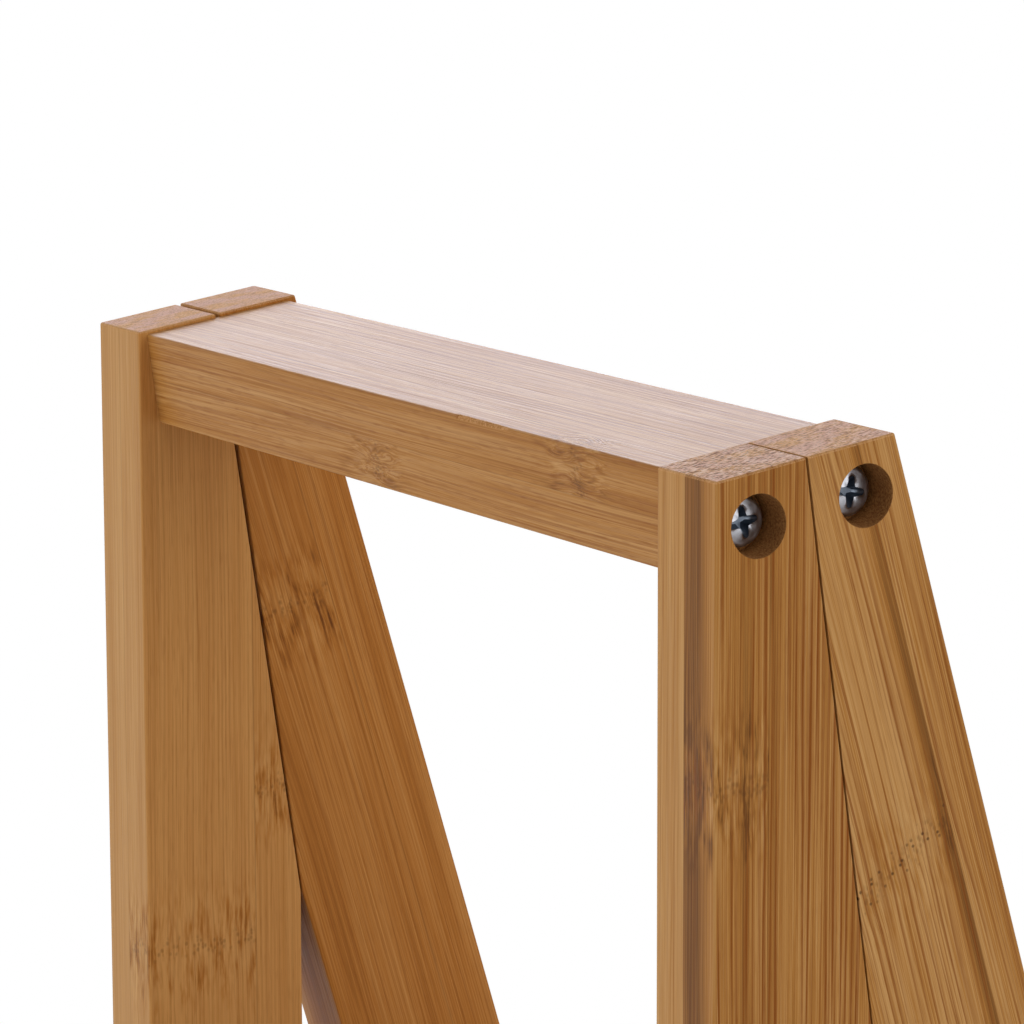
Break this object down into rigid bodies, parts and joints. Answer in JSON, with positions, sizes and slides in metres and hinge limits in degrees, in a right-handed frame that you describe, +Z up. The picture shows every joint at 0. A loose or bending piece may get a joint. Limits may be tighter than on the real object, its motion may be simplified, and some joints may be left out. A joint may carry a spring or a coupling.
{
  "type": "ladder shelf",
  "caption": "Narrow A-frame ladder shelf in laminated bamboo: mitred leaning legs, a flat top rail and slatted tiers held by sunk pan-head screws.",
  "frame": {"origin": "on the floor, midway between the four feet, under the seam of the leaning legs", "axes": "+Z up, X across the shelf between the two pairs of legs, -Y to the front"},
  "size_m": [0.211, 0.296, 0.9],
  "materials": {
    "bamboo_leg": "satin clear lacquer on laminated bamboo",
    "bamboo_rail": "satin clear lacquer on laminated bamboo",
    "bamboo_slat": "satin clear lacquer on laminated bamboo",
    "zinc_screw": "bright zinc plate"
  },
  "bodies": {
    "root": {"front_left_leg": "bamboo_leg", "front_right_leg": "bamboo_leg", "rear_left_leg": "bamboo_leg", "rear_right_leg": "bamboo_leg", "top_rail": "bamboo_rail", "top_rail_screws": "zinc_screw", "tier_1_front_rail": "bamboo_rail", "tier_1_rear_rail": "bamboo_rail", "tier_1_slat_1": "bamboo_slat", "tier_1_slat_2": "bamboo_slat", "tier_1_slat_3": "bamboo_slat", "tier_1_slat_4": "bamboo_slat", "tier_1_slat_5": "bamboo_slat", "tier_1_slat_6": "bamboo_slat", "tier_1_screws": "zinc_screw", "tier_2_front_rail": "bamboo_rail", "tier_2_rear_rail": "bamboo_rail", "tier_2_slat_1": "bamboo_slat", "tier_2_slat_2": "bamboo_slat", "tier_2_slat_3": "bamboo_slat", "tier_2_slat_4": "bamboo_slat", "tier_2_slat_5": "bamboo_slat", "tier_2_slat_6": "bamboo_slat", "tier_2_screws": "zinc_screw", "tier_3_front_rail": "bamboo_rail", "tier_3_rear_rail": "bamboo_rail", "tier_3_slat_1": "bamboo_slat", "tier_3_slat_2": "bamboo_slat", "tier_3_slat_3": "bamboo_slat", "tier_3_slat_4": "bamboo_slat", "tier_3_slat_5": "bamboo_slat", "tier_3_slat_6": "bamboo_slat", "tier_3_screws": "zinc_screw", "tier_4_front_rail": "bamboo_rail", "tier_4_rear_rail": "bamboo_rail", "tier_4_slat_1": "bamboo_slat", "tier_4_slat_2": "bamboo_slat", "tier_4_slat_3": "bamboo_slat", "tier_4_slat_4": "bamboo_slat", "tier_4_slat_5": "bamboo_slat", "tier_4_slat_6": "bamboo_slat", "tier_4_screws": "zinc_screw"}
  },
  "joints": []
}
